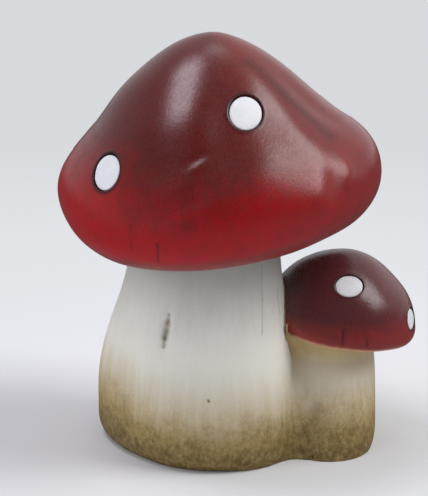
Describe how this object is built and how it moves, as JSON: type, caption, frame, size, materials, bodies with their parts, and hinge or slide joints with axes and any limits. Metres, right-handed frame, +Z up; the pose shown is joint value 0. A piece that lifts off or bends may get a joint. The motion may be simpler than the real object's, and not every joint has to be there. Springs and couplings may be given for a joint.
{
  "type": "mushroom ornament",
  "caption": "Free-standing ceramic ornament of a tall and a short toadstool joined side by side, with red glazed caps, white spots and pale stems washed brown at the foot.",
  "frame": {"origin": "centre of the tall stem's foot, on the plane that the ornament stands on", "axes": "+Z up, +X from the tall toadstool towards the short one, -Y towards the viewer"},
  "size_m": [0.1299, 0.114, 0.15],
  "materials": {
    "red_glaze": "satin",
    "maroon_glaze": "satin",
    "stem_biscuit": "matte",
    "white_spot": "matte",
    "joining_slip": "matte"
  },
  "bodies": {
    "root": {"large_stem": "stem_biscuit", "small_stem": "stem_biscuit", "large_cap": "red_glaze", "small_cap": "maroon_glaze", "large_neck_slip": "joining_slip", "small_neck_slip": "joining_slip", "stem_seam_slip": "joining_slip", "cap_seam_slip": "joining_slip", "large_spot_1": "white_spot", "large_spot_2": "white_spot", "large_spot_3": "white_spot", "large_spot_4": "white_spot", "large_spot_5": "white_spot", "large_spot_6": "white_spot", "small_spot_1": "white_spot", "small_spot_2": "white_spot", "small_spot_3": "white_spot", "small_spot_4": "white_spot"}
  },
  "joints": []
}
